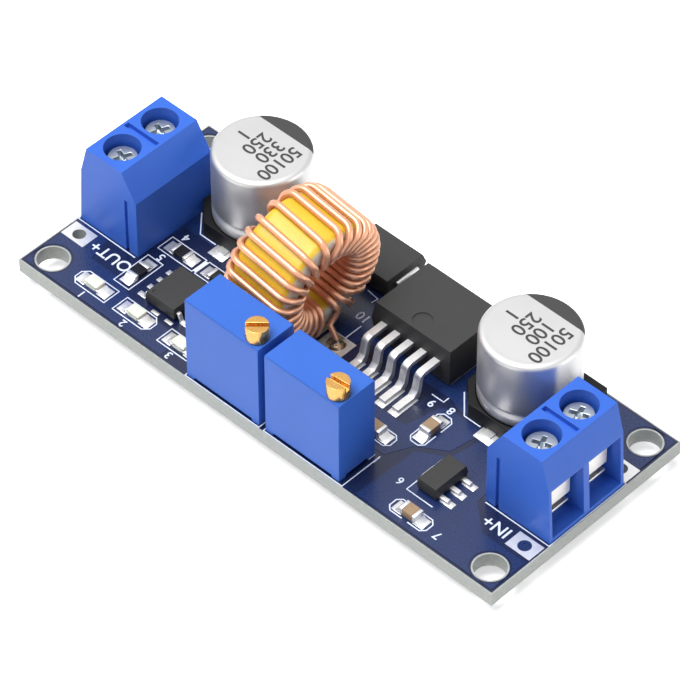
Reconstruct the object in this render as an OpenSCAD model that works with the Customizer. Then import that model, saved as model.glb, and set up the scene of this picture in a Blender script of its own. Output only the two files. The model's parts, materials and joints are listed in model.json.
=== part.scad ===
// Buck converter module: a step-down power board with screw terminals,
// two multi-turn trimmers, a wound toroid and surface-mount parts.
// Millimetres. +X runs from the output end to the input end, +Y towards the
// regulator's tab, +Z up. The origin is under the board's centre, at the level of
// the pin tips, so board_top is where every fitted part starts.

/* [Board] */
// Board length along X
board_l = 62; // [55:70]
// Board width along Y
board_w = 26; // [22:30]
// Board thickness
board_t = 1.6; // [1:2]
// How far the soldered pins reach below the board
pin_drop = 1.4; // [1:2]
// Mounting hole radius
hole_r = 1.6; // [1.5:1.7]
// Mounting hole centre from each board edge
hole_in = 2.33; // [2.2:3]
// Thickness of tinned pads above the laminate
pad_t = 0.05; // [0.04:0.1]
// Wire pad size along X
wire_pad_l = 3; // [2.5:3.5]
// Wire pad size along Y
wire_pad_w = 2.1; // [1.8:2.5]
// Wire pad centre from the board's end
wire_pad_in = 1.8; // [1.6:2.2]
// Wire pad centre from the board's centre line
wire_pad_y = 6.6; // [6:7]
// Wire pad hole radius
wire_hole_r = 0.68; // [0.5:0.8]

/* [Terminal blocks] */
// Pole pitch along Y
pole_pitch = 5.08; // [5:5.08]
// Offset of the pair of poles from the board's centre line
pole_mid = 0.2; // [-1:1]
// Screw centre from the board's centre along X
pole_x = 27.1; // [26:28]
// Block width along Y
block_w = 10.2; // [10:11]
// Block height
block_h = 10.15; // [9.5:11]
// Front foot of the block along X, from the board's centre
block_front = 30.75; // [30:31]
// Front lip, where the sloped top starts
block_lip = 30.35; // [30:31]
// Front edge of the flat top
block_top_front = 29.45; // [29:30]
// Back edge of the flat top
block_top_back = 24.65; // [24:25]
// Back face of the block
block_back = 22.8; // [22:23.5]
// Height of the front lip
lip_z = 6.8; // [6:8]
// Height where the back slope starts
back_z = 7.1; // [6:8]
// Wire opening width along Y
entry_w = 4.3; // [4:4.5]
// Height of the sill under the wire opening
sill_z = 0.45; // [0.3:1]
// Top of the wire opening in the front lip
entry_top = 6.5; // [6:6.7]
// Ceiling over the clamp inside the block
clamp_top = 5.52; // [5:6]
// Back of the wire cavity
cavity_back = 24.45; // [24:25]
// Depth line where the clamp's face stops behind the lip
clamp_front = 29.3; // [29:29.8]
// Screwdriver well radius
well_r = 1.85; // [1.6:2]
// Floor of the screwdriver well
well_z = 5.95; // [5.8:6.2]
// Slot between the wells: length
slot_l = 4.2; // [3:5]
// Slot between the wells: width
slot_w = 0.6; // [0.4:0.8]
// Slot between the wells: depth
slot_d = 0.6; // [0.3:1]
// Interlock groove centre along X
groove_x = 24.2; // [24:25]
// Interlock groove and rib width
groove_w = 0.4; // [0.3:0.6]
// Interlock groove depth
groove_d = 0.3; // [0.2:0.5]
// Interlock groove height
groove_h = 6.7; // [6:7]

/* [Clamps] */
// Clamp width along Y
clamp_w = 3.4; // [3:4]
// Clamp sheet thickness
clamp_t = 0.4; // [0.35:0.5]
// Underside of the threaded plate
nut_z = 2.75; // [2.6:3]
// Clamp floor level
floor_z = 0.5; // [0.5:0.6]
// Front end of the clamp floor
floor_front = 28.6; // [28:29]
// Screw thread radius
thread_r = 1.2; // [1:1.3]
// Screw head radius
head_r = 1.5; // [1.4:1.6]
// Screw head height
head_h = 1.5; // [1.3:1.7]
// Top of the screw head above the board
head_z = 8.9; // [8.7:9]
// Cross recess length
cross_l = 1.9; // [1.5:2.2]
// Cross recess width
cross_w = 0.45; // [0.4:0.6]
// Cross recess depth
cross_d = 0.8; // [0.6:1]
// Turn of the cross recess at rest
cross_turn = 20; // [0:90]
// Pressure leaf thickness
leaf_t = 0.28; // [0.2:0.35]
// Pressure leaf width
leaf_w = 3.1; // [2.8:3.2]
// Underside of the pressure leaf at rest
leaf_z = 1.65; // [1.5:1.8]
// Radial running clearance of the screws
run_gap = 0.05; // [0.03:0.08]
// Clearance between the screw tip and the leaf
tip_gap = 0.03; // [0.02:0.05]
// Clamp pin radius
clamp_pin_r = 0.5; // [0.4:0.6]

/* [Capacitors] */
// Can centre along X, from the board's centre
can_x = 17.45; // [17:18]
// Can centre along Y
can_y = 6.9; // [6:7.5]
// Can radius
can_r = 5; // [4.9:5.1]
// Top of the can
can_top = 9.9; // [9.5:10.3]
// Rounding of the can's top edge
can_round = 0.55; // [0.3:0.8]
// Depth of the crimp groove
crimp_d = 0.28; // [0.2:0.4]
// Height of the crimp groove above the base
crimp_z = 1.25; // [1:1.6]
// Half height of the crimp groove
crimp_h = 0.35; // [0.25:0.5]
// Base plate half length along X
base_x = 5.15; // [5:5.3]
// Base plate half width along Y
base_y = 5.25; // [5:5.4]
// Base plate thickness
base_t = 1.85; // [1.5:2.2]
// Base plate chamfer at the positive side
base_cut = 2.2; // [1.8:2.4]
// Recess of the base that takes the can
base_seat = 0.25; // [0.2:0.4]
// Radial clearance of the can in its base
seat_gap = 0.03; // [0.02:0.06]
// Capacitor foot width
foot_w = 1.1; // [0.9:1.3]
// Capacitor foot reach past the base
foot_out = 0.75; // [0.5:1]
// Capacitor foot thickness
foot_t = 0.2; // [0.15:0.3]
// Capacitor foot length
foot_l = 3; // [2.5:3.5]

/* [Inductor] */
// Toroid centre along X
toroid_x = -5.4; // [-6:-5]
// Toroid centre along Y
toroid_y = 0; // [-0.5:0.5]
// Toroid centre above the board
toroid_z = 7.7; // [7.4:8]
// Lean of the toroid, input side down
toroid_tilt = 7; // [0:9]
// Core outer radius
core_ro = 6.45; // [6.3:6.6]
// Core inner radius
core_ri = 3.9; // [3.8:4]
// Core half width
core_hw = 3.5; // [3.2:3.7]
// Core corner radius
core_rc = 0.9; // [0.5:1.1]
// Winding wire diameter
wire_d = 0.7; // [0.6:0.72]
// Gap between the wire and the core
wire_gap = 0.06; // [0.05:0.08]
// Winding turns
turns = 28; // [24:28]
// Angle between turns inside the bore
turn_step = 12.4; // [12.2:12.6]
// Angle where the winding starts
turn_start = 277.6; // [276:279]
// Bunching of the outer wires towards the regulator side
bunch = 22; // [0:26]
// Direction the outer wires bunch to
bunch_at = 5; // [-10:20]
// Sides of the swept wire
wire_sides = 8; // [6:8]
// Lead distance from the toroid's centre along X
lead_x = 4.45; // [4.3:4.6]
// Inductor pad size along X
coil_pad_l = 3.1; // [2.8:3.4]
// Inductor pad size along Y
coil_pad_w = 2.3; // [2:2.6]
// Solder dome foot radius
dome_r = 1.0; // [0.8:1.1]
// Solder dome height
dome_h = 0.7; // [0.5:0.9]
// Adhesive dab length under the toroid
dab_l = 5; // [3:6]
// Adhesive dab width
dab_w = 3.4; // [2:4]
// Adhesive dab height
dab_h = 0.85; // [0.5:1]

/* [Trimmers] */
// Trimmer length along X
trim_l = 9.53; // [9.5:9.6]
// Trimmer width along Y
trim_w = 4.83; // [4.4:5]
// Trimmer top above the board
trim_h = 10.1; // [9.9:10.3]
// Standoff height under the trimmer
trim_foot = 0.3; // [0.2:0.5]
// Standoff size
trim_foot_s = 1; // [0.8:1.4]
// Left edge of the first trimmer
trim_x1 = -8.35; // [-8.6:-8]
// Left edge of the second trimmer
trim_x2 = 2; // [1.8:2.3]
// Near face of the trimmers
trim_y = -12.66; // [-12.9:-12.4]
// Edge rounding of the trimmer top
trim_edge = 0.15; // [0.1:0.3]
// Adjusting screw distance from the trimmer's end and face
adj_in = 1.27; // [1.2:1.4]
// Adjusting screw head radius
adj_r = 1.15; // [1.05:1.2]
// Adjusting screw head height
adj_h = 1.6; // [1.4:1.8]
// Adjusting screw neck radius
adj_neck = 0.8; // [0.7:0.9]
// Adjusting screw neck depth in the housing
adj_depth = 1.3; // [1:1.6]
// Gap under the adjusting screw head
adj_gap = 0.06; // [0.04:0.1]
// Adjusting slot width
adj_slot_w = 0.45; // [0.35:0.6]
// Adjusting slot depth
adj_slot_d = 0.6; // [0.5:0.8]
// Turn of the first adjusting slot at rest
adj_turn1 = 43; // [0:180]
// Turn of the second adjusting slot at rest
adj_turn2 = 5; // [0:180]
// Trimmer pin radius
trim_pin_r = 0.25; // [0.2:0.35]
// Trimmer pin pitch
trim_pitch = 2.54; // [2.5:2.54]

/* [Regulator and diode] */
// Regulator centre along X
reg_x = 5.75; // [5.5:6]
// Regulator body width along X
reg_w = 10.1; // [9.8:10.4]
// Regulator front face along Y
reg_y0 = 3.05; // [2.9:3.3]
// Regulator back face along Y
reg_y1 = 11.7; // [11.5:12]
// Tab end along Y
tab_y1 = 12.8; // [12.5:13]
// Regulator body height
reg_h = 4.5; // [4.3:4.7]
// Regulator parting line height
reg_mid = 2.65; // [2.4:2.9]
// Regulator top bevel length at the back
reg_bevel = 1.05; // [0.8:1.2]
// Regulator bevel drop at the back
reg_bevel_z = 1.4; // [1:2]
// Draft of moulded package sides
draft = 0.25; // [0.15:0.35]
// Tab thickness
tab_t = 1.27; // [1.2:1.4]
// Tab width
tab_w = 9.6; // [9:10]
// Regulator lead pitch
reg_pitch = 1.7; // [1.7:1.7]
// Regulator lead width
reg_lead_w = 0.8; // [0.7:0.9]
// Regulator lead thickness
reg_lead_t = 0.5; // [0.4:0.6]
// Regulator lead tip along Y
reg_tip = -2.6; // [-2.8:-2.4]
// Regulator lead knee along Y
reg_knee = 0.3; // [0:0.6]
// Regulator lead outer bend radius
reg_bend = 0.8; // [0.6:0.9]
// Pin-one dimple radius
dimple_r = 1; // [0.8:1.2]
// Dimple depth
dimple_d = 0.12; // [0.05:0.2]
// Dimple centre from the regulator's front face
dimple_in = 1.7; // [1.5:2.2]
// Diode centre along X
diode_x = -4.75; // [-5:-4.5]
// Diode centre along Y
diode_y = 10.2; // [10:10.4]
// Diode body length
diode_l = 6.75; // [6.6:7]
// Diode body width
diode_w = 5.5; // [5.3:5.8]
// Diode body height
diode_h = 2.3; // [2.2:2.5]
// Diode lead width
diode_lead_w = 2.95; // [2.9:3.1]
// Diode lead thickness
diode_lead_t = 0.26; // [0.2:0.3]
// Diode lead top
diode_lead_z = 1.6; // [1.4:1.7]
// Diode lead return under the body
diode_lead_in = 1.1; // [0.9:1.3]

/* [Small packages] */
// Standoff under moulded packages
under = 0.12; // [0.1:0.15]
// Op-amp centre along X
amp_x = -16.05; // [-16.3:-15.8]
// Op-amp centre along Y
amp_y = -6.18; // [-6.3:-6]
// Op-amp body width along X
amp_w = 3.9; // [3.8:4]
// Op-amp body length along Y
amp_l = 4.9; // [4.8:5]
// Op-amp body height
amp_h = 1.55; // [1.5:1.7]
// Op-amp lead pitch
amp_pitch = 1.27; // [1.27:1.27]
// Op-amp lead width
amp_lead_w = 0.42; // [0.35:0.5]
// Op-amp reach from tip to tip
amp_span = 6.1; // [5.9:6.2]
// Thickness of the small leads
lead_t = 0.2; // [0.15:0.25]
// Foot length of the small leads
lead_foot = 0.65; // [0.5:0.8]
// Small regulator centre along X
sot_x = 18.45; // [18.2:18.7]
// Small regulator centre along Y
sot_y = -6.1; // [-6.3:-5.9]
// Small regulator body width along X
sot_w = 2.5; // [2.4:2.6]
// Small regulator body length along Y
sot_l = 4.4; // [4.2:4.6]
// Small regulator body height
sot_h = 1.5; // [1.4:1.6]
// Small regulator lead pitch
sot_pitch = 1.5; // [1.5:1.5]
// Small regulator lead reach
sot_reach = 1; // [0.9:1.2]
// Small regulator lead thickness
sot_lead_t = 0.4; // [0.35:0.45]
// Small regulator outer lead width
sot_lead_w = 0.48; // [0.4:0.55]
// Small regulator tab reach
sot_tab = 0.6; // [0.5:0.8]

/* [Chips and lamps] */
// Chip length
chip_l = 2; // [1.6:2.1]
// Chip width
chip_w = 1.25; // [0.8:1.3]
// End cap length
chip_end = 0.4; // [0.3:0.5]
// Resistor height
res_h = 0.5; // [0.45:0.6]
// Ceramic capacitor height
cer_h = 0.9; // [0.8:1]
// Lamp base height
lamp_base = 0.3; // [0.25:0.4]
// Lamp lens height over its base
lamp_lens = 0.4; // [0.3:0.5]
// Solder fillet length past a chip end
fillet_l = 0.75; // [0.5:0.9]
// Solder fillet height at a chip end
fillet_h = 0.38; // [0.3:0.45]
// Lamp row along Y
lamp_y = -10.42; // [-10.6:-10.2]
// Lamp centres along X
lamp_xs = [-23.1, -17.4, -11.35];
// Chip resistor centres and turns
res_at = [[-21.35, -6.27, 90], [-20.05, -1.62, 0], [-15.1, -1.62, 0]];
// Ceramic capacitor centres and turns
cer_at = [[19.13, -11, 0], [13.15, -1.93, 90], [9.45, -5.6, 0]];
// Test pad centres beside the op-amp
test_at = [[-16.3, -8.98], [-14.5, -8.98]];
// Test pad length
test_l = 0.95; // [0.8:1.1]
// Test pad width
test_w = 0.4; // [0.3:0.5]

/* [Solder] */
// Through-hole clearance around a pin
pin_gap = 0.12; // [0.1:0.2]
// Solder cone spread around a pin
cone_out = 0.75; // [0.5:0.9]
// Solder cone height
cone_h = 0.9; // [0.6:1.1]
// Solder cone spread at its tip
cone_tip = 0.1; // [0.05:0.2]

/* [Hidden] */
$fn = 48;

board_top = pin_drop + board_t;
board_base = pin_drop;
eps = 0.01;
cut = 1;
block_y0 = pole_mid - block_w / 2;
hole_x = board_l / 2 - hole_in;
hole_y = board_w / 2 - hole_in;
wire_pad_x = board_l / 2 - wire_pad_in;
pos_y = pole_mid - pole_pitch / 2;
neg_y = pole_mid + pole_pitch / 2;
trim_pin_y = trim_y + trim_w / 2;
coil_pad_z = board_top + pad_t;
trim_pins = [for (x = [trim_x1, trim_x2], k = [-1, 0, 1])
  [x + trim_l / 2 + k * trim_pitch, trim_pin_y]];
clamp_pins = [for (s = [-1, 1], y = [pos_y, neg_y]) [s * pole_x, y]];

module box(x0, x1, y0, y1, z0, z1) {
  translate([x0, y0, z0]) cube([x1 - x0, y1 - y0, z1 - z0]);
}

module on_board() { translate([0, 0, board_top]) children(); }

// A profile drawn as [x, z] points, extruded along Y from y0 to y1.
module along_y(points, y0, y1) {
  translate([0, y1, 0]) rotate([90, 0, 0])
    linear_extrude(height = y1 - y0) polygon(points);
}

// A profile drawn as [y, z] points, extruded along X from x0 to x1.
module along_x(points, x0, x1) {
  translate([x0, 0, 0]) rotate([90, 0, 90])
    linear_extrude(height = x1 - x0) polygon(points);
}

// The input end is +1; the output end is its mirror image along X.
module end(side) { if (side > 0) children(); else mirror([1, 0, 0]) children(); }

/* board */
module board() color("navy") {
  difference() {
    box(-board_l / 2, board_l / 2, -board_w / 2, board_w / 2, board_base, board_top);
    for (sx = [-1, 1], sy = [-1, 1]) {
      translate([sx * hole_x, sy * hole_y, board_base - cut])
        cylinder(r = hole_r, h = board_t + 2 * cut);
      translate([sx * wire_pad_x, sy * wire_pad_y, board_base - cut])
        cylinder(r = wire_hole_r, h = board_t + 2 * cut);
    }
    for (p = clamp_pins) translate([p[0], p[1], board_base - cut])
      cylinder(r = clamp_pin_r + pin_gap, h = board_t + 2 * cut);
    for (p = trim_pins) translate([p[0], p[1], board_base - cut])
      cylinder(r = trim_pin_r + pin_gap, h = board_t + 2 * cut);
  }
}

module wire_pad(z0) {
  difference() {
    box(-wire_pad_l / 2, wire_pad_l / 2, -wire_pad_w / 2, wire_pad_w / 2, z0, z0 + pad_t);
    translate([0, 0, z0 - cut]) cylinder(r = wire_hole_r, h = 2 * cut);
  }
}

module coil_pad() {
  box(-coil_pad_l / 2, coil_pad_l / 2, -coil_pad_w / 2, coil_pad_w / 2,
      board_top, board_top + pad_t);
}

module solder_pads() color("silver") {
  for (sx = [-1, 1], sy = [-1, 1], z = [board_top, board_base - pad_t])
    translate([sx * wire_pad_x, sy * wire_pad_y, 0]) wire_pad(z);
  for (s = [-1, 1])
    translate([toroid_x + s * lead_x, toroid_y, 0]) coil_pad();
  for (p = test_at)
    translate([p[0], p[1], 0])
      box(-test_l / 2, test_l / 2, -test_w / 2, test_w / 2, board_top, board_top + pad_t);
}

module cone(r) {
  difference() {
    translate([0, 0, board_base - cone_h])
      cylinder(r1 = r + cone_tip, r2 = r + cone_out, h = cone_h);
    translate([0, 0, board_base - cone_h - cut]) cylinder(r = r, h = cone_h + 2 * cut);
  }
}

module through_solder() color("silver") {
  for (p = clamp_pins) translate([p[0], p[1], 0]) cone(clamp_pin_r);
  for (p = trim_pins) translate([p[0], p[1], 0]) cone(trim_pin_r);
}

// One wedge of solder against each end of a chip lying along X.
module chip_fillets() {
  for (m = [0, 1]) mirror([m, 0, 0])
    along_y([[chip_l / 2, 0], [chip_l / 2 + fillet_l, 0],
             [chip_l / 2 + fillet_l / 2, fillet_h / 4], [chip_l / 2, fillet_h]],
            -chip_w / 2, chip_w / 2);
}

module chip_solder() color("gainsboro") on_board() {
  for (p = concat(res_at, cer_at)) translate([p[0], p[1], 0]) rotate([0, 0, p[2]])
    chip_fillets();
  for (x = lamp_xs) translate([x, lamp_y, 0]) chip_fillets();
}

/* terminal blocks */
block_profile = [
  [block_back, 0], [block_front, 0], [block_lip, lip_z], [block_top_front, block_h],
  [block_top_back, block_h], [block_back, back_z]
];

module pole_room(y) {
  box(cavity_back, clamp_front, y - entry_w / 2, y + entry_w / 2, sill_z, clamp_top);
  box(clamp_front - eps, block_front + cut, y - entry_w / 2, y + entry_w / 2,
      sill_z, entry_top);
  translate([pole_x, y, well_z]) cylinder(r = well_r, h = block_h);
  translate([pole_x, y, clamp_top - cut]) cylinder(r = thread_r + 2 * run_gap, h = block_h);
  translate([pole_x, y, -cut]) cylinder(r = clamp_pin_r + run_gap, h = 2 * cut);
}

module housing(side) color("royalblue") on_board() end(side) {
  difference() {
    union() {
      along_y(block_profile, block_y0, block_y0 + block_w);
      box(groove_x - groove_w / 2 + run_gap, groove_x + groove_w / 2 - run_gap,
          block_y0 + block_w - eps, block_y0 + block_w + groove_d - run_gap, 0, groove_h);
    }
    for (y = [pos_y, neg_y]) pole_room(y);
    box((block_top_front + block_top_back - slot_l) / 2,
        (block_top_front + block_top_back + slot_l) / 2,
        pole_mid - slot_w / 2, pole_mid + slot_w / 2, block_h - slot_d, block_h + cut);
    box(groove_x - groove_w / 2, groove_x + groove_w / 2,
        block_y0 - cut, block_y0 + groove_d, -cut, groove_h);
  }
}

module in_housing() housing(1);
module out_housing() housing(-1);

// The fixed clamp: threaded plate, back wall and floor in one piece, with its pin.
module clamp(y) {
  back = cavity_back + run_gap;
  front = clamp_front - run_gap;
  top = clamp_top - run_gap;
  difference() {
    along_y([[back, floor_z], [floor_front, floor_z], [floor_front, floor_z + clamp_t],
             [back + clamp_t, floor_z + clamp_t], [back + clamp_t, nut_z],
             [front, nut_z], [front, top], [back, top]],
            y - clamp_w / 2, y + clamp_w / 2);
    translate([pole_x, y, nut_z - cut]) cylinder(r = thread_r + run_gap, h = block_h);
  }
  translate([pole_x, y, -board_top]) cylinder(r = clamp_pin_r, h = board_top + floor_z + eps);
}

module clamps(side) color("silver") on_board() end(side)
  for (y = [pos_y, neg_y]) clamp(y);

module in_clamps() clamps(1);
module out_clamps() clamps(-1);

module leaf(side, y) color("gainsboro") on_board() end(side)
  box(cavity_back + clamp_t + 3 * run_gap, clamp_front - run_gap, y - leaf_w / 2, y + leaf_w / 2,
      leaf_z, leaf_z + leaf_t);

module in_pos_leaf() leaf(1, pos_y);
module in_neg_leaf() leaf(1, neg_y);
module out_pos_leaf() leaf(-1, pos_y);
module out_neg_leaf() leaf(-1, neg_y);

module clamp_screw(side, y) color("lightgray") on_board() end(side) {
  tip = leaf_z + leaf_t + tip_gap;
  translate([pole_x, y, 0]) difference() {
    union() {
      translate([0, 0, tip]) cylinder(r = thread_r, h = head_z - head_h - tip + eps);
      translate([0, 0, head_z - head_h]) cylinder(r = head_r, h = head_h);
    }
    for (a = [0, 90]) rotate([0, 0, cross_turn + a])
      box(-cross_l / 2, cross_l / 2, -cross_w / 2, cross_w / 2,
          head_z - cross_d, head_z + cut);
  }
}

module in_pos_screw() clamp_screw(1, pos_y);
module in_neg_screw() clamp_screw(1, neg_y);
module out_pos_screw() clamp_screw(-1, pos_y);
module out_neg_screw() clamp_screw(-1, neg_y);

/* capacitors */
base_z = base_t - base_seat;
can_profile = [
  [0, base_z], [can_r - crimp_d, base_z], [can_r, base_t + crimp_h],
  [can_r, base_t + crimp_z - crimp_h], [can_r - crimp_d, base_t + crimp_z],
  [can_r, base_t + crimp_z + crimp_h], [can_r, can_top - can_round],
  for (a = [15 : 15 : 75])
    [can_r - can_round + can_round * cos(a), can_top - can_round + can_round * sin(a)],
  [can_r - can_round, can_top], [0, can_top]
];

module at_can(side) { translate([side * can_x, can_y, 0]) children(); }

module can(side) color("lightgray") on_board() at_can(side)
  rotate_extrude($fn = 96) polygon(can_profile);

module can_base(side) color("black") on_board() at_can(side) {
  difference() {
    linear_extrude(height = base_t) polygon([
      [-base_x, base_y], [-base_x, base_cut - base_y], [base_cut - base_x, -base_y],
      [base_x - base_cut, -base_y], [base_x, base_cut - base_y], [base_x, base_y]]);
    translate([0, 0, base_z]) cylinder(r = can_r + seat_gap, h = base_t);
    for (m = [0, 1]) mirror([0, m, 0])
      box(-foot_w / 2 - seat_gap, foot_w / 2 + seat_gap,
          base_y - foot_l + foot_out - seat_gap, base_y + cut, -cut, foot_t + seat_gap);
  }
}

module can_feet(side) color("silver") on_board() at_can(side)
  for (m = [0, 1]) mirror([0, m, 0])
    box(-foot_w / 2, foot_w / 2, base_y - foot_l + foot_out, base_y + foot_out, 0, foot_t);

module in_can() can(1);
module out_can() can(-1);
module in_can_base() can_base(1);
module out_can_base() can_base(-1);
module in_can_feet() can_feet(1);
module out_can_feet() can_feet(-1);

/* inductor */
module at_toroid() {
  on_board() translate([toroid_x, toroid_y, toroid_z]) rotate([0, toroid_tilt, 0]) children();
}

core_mid = (core_ro + core_ri) / 2;
core_hr = (core_ro - core_ri) / 2;
// Corner points of the rounded core section, as [radius, axial] pairs.
core_profile = [
  for (c = [[1, 1, 0], [-1, 1, 90], [-1, -1, 180], [1, -1, 270]], a = [0 : 15 : 90])
    [core_mid + c[0] * (core_hr - core_rc) + core_rc * cos(c[2] + a),
     c[1] * (core_hw - core_rc) + core_rc * sin(c[2] + a)]
];

module toroid_core() color("gold") at_toroid()
  rotate([0, 90, 0]) rotate_extrude($fn = 96) polygon(core_profile);

wire_off = wire_d / 2 + wire_gap;
loop_hr = core_hr + wire_off;
loop_hw = core_hw + wire_off;
loop_rc = core_rc + wire_off;
// One loop around the core section, started outside at the input face. Each point is
// [radius, axial, share of the outer angle, share of the turn].
arc_steps = [0, 1 / 3, 2 / 3, 1];
arc_share = 0.42;
function smooth(t) = t * t * (3 - 2 * t);
function corner(sr, sx, a0, w0, w1, t0) = [for (k = arc_steps)
  [core_mid + sr * (loop_hr - loop_rc) + loop_rc * cos(a0 + 90 * k),
   sx * (loop_hw - loop_rc) + loop_rc * sin(a0 + 90 * k),
   smooth(w0 + (w1 - w0) * k), t0 + k / 10]];
loop_points = concat(
  corner(1, 1, 0, 1, 1 - arc_share, 0),
  [[core_mid, loop_hw, smooth(0.5), 0.2]],
  corner(-1, 1, 90, arc_share, 0, 0.3),
  corner(-1, -1, 180, 0, arc_share, 0.5),
  [[core_mid, -loop_hw, smooth(0.5), 0.7]],
  corner(1, -1, 270, 1 - arc_share, 1, 0.8));
bore_in = len(arc_steps) + 1;
bore_out = 3 * len(arc_steps);

// The outer wires lean towards bunch_at, except around the leads at the bottom.
lead_at = 270;
lead_fade = 60;
function near_leads(a) = smooth(max(0, 1 - abs((a % 360) - lead_at) / lead_fade));
function outer_angle(a) = a - bunch * sin(a - bunch_at) * (1 - near_leads(a));
function toroid_point(r, x, a) = [x, r * cos(a), r * sin(a)];
function lean(p) = [
  toroid_x + p[0] * cos(toroid_tilt) + p[2] * sin(toroid_tilt),
  toroid_y + p[1],
  board_top + toroid_z - p[0] * sin(toroid_tilt) + p[2] * cos(toroid_tilt)];
function wound(q, k) = let (a = turn_start + (k + q[3]) * turn_step)
  lean(toroid_point(q[0], q[1], a + q[2] * (outer_angle(a) - a)));

last = len(loop_points) - 1;
coil_path = [for (k = [0 : turns - 1], i = [0 : last])
  if ((k > 0 || i >= bore_in) && (k < turns - 1 || i <= bore_out)) wound(loop_points[i], k)];
function lead_path(side) = [
  [toroid_x + side * lead_x, toroid_y, coil_pad_z],
  [toroid_x + side * lead_x, toroid_y, coil_pad_z + wire_d],
  lean([side * (loop_hw + wire_gap), side * wire_d / 2, -core_mid - core_hr / 2])];
end_lead = lead_path(-1);
wire_path = concat(lead_path(1), coil_path, [for (i = [2 : -1 : 0]) end_lead[i]]);

function unit(v) = v / norm(v);
function tangent(p, i) = unit(p[min(i + 1, len(p) - 1)] - p[max(i - 1, 0)]);
function square_to(u, t) = unit(u - (u * t) * t);
function frames(p) = [for (i = 0, t = tangent(p, 0), u = square_to([0, 1, 0], t); i < len(p);
  i = i + 1, t = tangent(p, min(i, len(p) - 1)), u = square_to(u, t)) [t, u]];

module swept(p, r, sides) {
  f = frames(p);
  n = len(p);
  points = [for (i = [0 : n - 1], k = [0 : sides - 1])
    let (a = 360 * k / sides, u = f[i][1], v = cross(f[i][0], u))
      p[i] + r * (cos(a) * u + sin(a) * v)];
  faces = concat(
    [[for (k = [0 : sides - 1]) k]],
    [for (i = [0 : n - 2], k = [0 : sides - 1])
      let (a = i * sides + k, b = i * sides + (k + 1) % sides) [a, a + sides, b]],
    [for (i = [0 : n - 2], k = [0 : sides - 1])
      let (a = i * sides + k, b = i * sides + (k + 1) % sides) [b, a + sides, b + sides]],
    [[for (k = [sides - 1 : -1 : 0]) (n - 1) * sides + k]]);
  polyhedron(points = points, faces = faces, convexity = 20);
}

module toroid_winding() color("peru") swept(wire_path, wire_d / 2, wire_sides);

module toroid_solder() color("silver")
  for (s = [-1, 1]) translate([toroid_x + s * lead_x, toroid_y, coil_pad_z]) difference() {
    cylinder(r1 = dome_r, r2 = wire_d / 2 + 2 * wire_gap, h = dome_h);
    translate([0, 0, -cut]) cylinder(r = wire_d / 2 + wire_gap / 2, h = dome_h + 2 * cut);
  }

module toroid_dab() color("whitesmoke")
  difference() {
    box(toroid_x - dab_l / 2, toroid_x + dab_l / 2, toroid_y - dab_w / 2, toroid_y + dab_w / 2,
        board_top, board_top + dab_h);
    at_toroid() rotate([0, 90, 0])
      cylinder(r = core_ro + wire_off + wire_d / 2 + wire_gap, h = board_w, center = true,
               $fn = 96);
  }

/* regulator */
module regulator_body() color("dimgray") on_board() {
  x0 = reg_x - reg_w / 2;
  x1 = reg_x + reg_w / 2;
  difference() {
    intersection() {
      along_x([[reg_y0 + draft, under], [reg_y0, reg_mid], [reg_y0 + 1.5 * draft, reg_h],
               [reg_y1 - reg_bevel, reg_h], [reg_y1, reg_h - reg_bevel_z], [reg_y1, under]],
              x0, x1);
      along_y([[x0 + draft, under], [x1 - draft, under], [x1, reg_mid], [x1 - draft, reg_h],
               [x0 + draft, reg_h], [x0, reg_mid]], reg_y0 - cut, reg_y1 + cut);
    }
    box(reg_x - tab_w / 2, reg_x + tab_w / 2, reg_y0 + 2 * draft, reg_y1 + cut, -cut, tab_t);
    for (k = [-2 : 2]) box(reg_x + k * reg_pitch - reg_lead_w / 2,
      reg_x + k * reg_pitch + reg_lead_w / 2, reg_y0 - cut, reg_y0 + cut,
      reg_mid - reg_lead_t / 2, reg_mid + reg_lead_t / 2);
    translate([reg_x, reg_y0 + dimple_in, reg_h - dimple_d]) cylinder(r = dimple_r, h = cut);
  }
}

module regulator_tab() color("silver") on_board()
  box(reg_x - tab_w / 2, reg_x + tab_w / 2, reg_y0 + 2 * draft, tab_y1, 0, tab_t);

// One bent lead: flat at the top, down the knee, and a flat foot.
module regulator_lead(x) {
  top = reg_mid + reg_lead_t / 2;
  foot = reg_lead_t;
  shin = reg_knee - reg_lead_t / 2;
  arc = [for (a = [0 : 15 : 90])
    [reg_knee + reg_bend - reg_bend * sin(90 - a), top - reg_bend + reg_bend * cos(90 - a)]];
  inner = [for (a = [90 : -15 : 0])
    [reg_knee + reg_bend - (reg_bend - reg_lead_t) * sin(90 - a),
     top - reg_bend + (reg_bend - reg_lead_t) * cos(90 - a)]];
  along_x(concat(
    [[reg_tip, 0], [reg_tip, foot], [shin - foot, foot], [shin, 2 * foot]],
    arc, [[reg_y0 + cut, top], [reg_y0 + cut, top - reg_lead_t]], inner,
    [[shin + reg_lead_t, foot], [shin + reg_lead_t / 2, 0]]),
    x - reg_lead_w / 2, x + reg_lead_w / 2);
}

module regulator_leads() color("silver") on_board()
  for (k = [-2 : 2]) regulator_lead(reg_x + k * reg_pitch);

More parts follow.
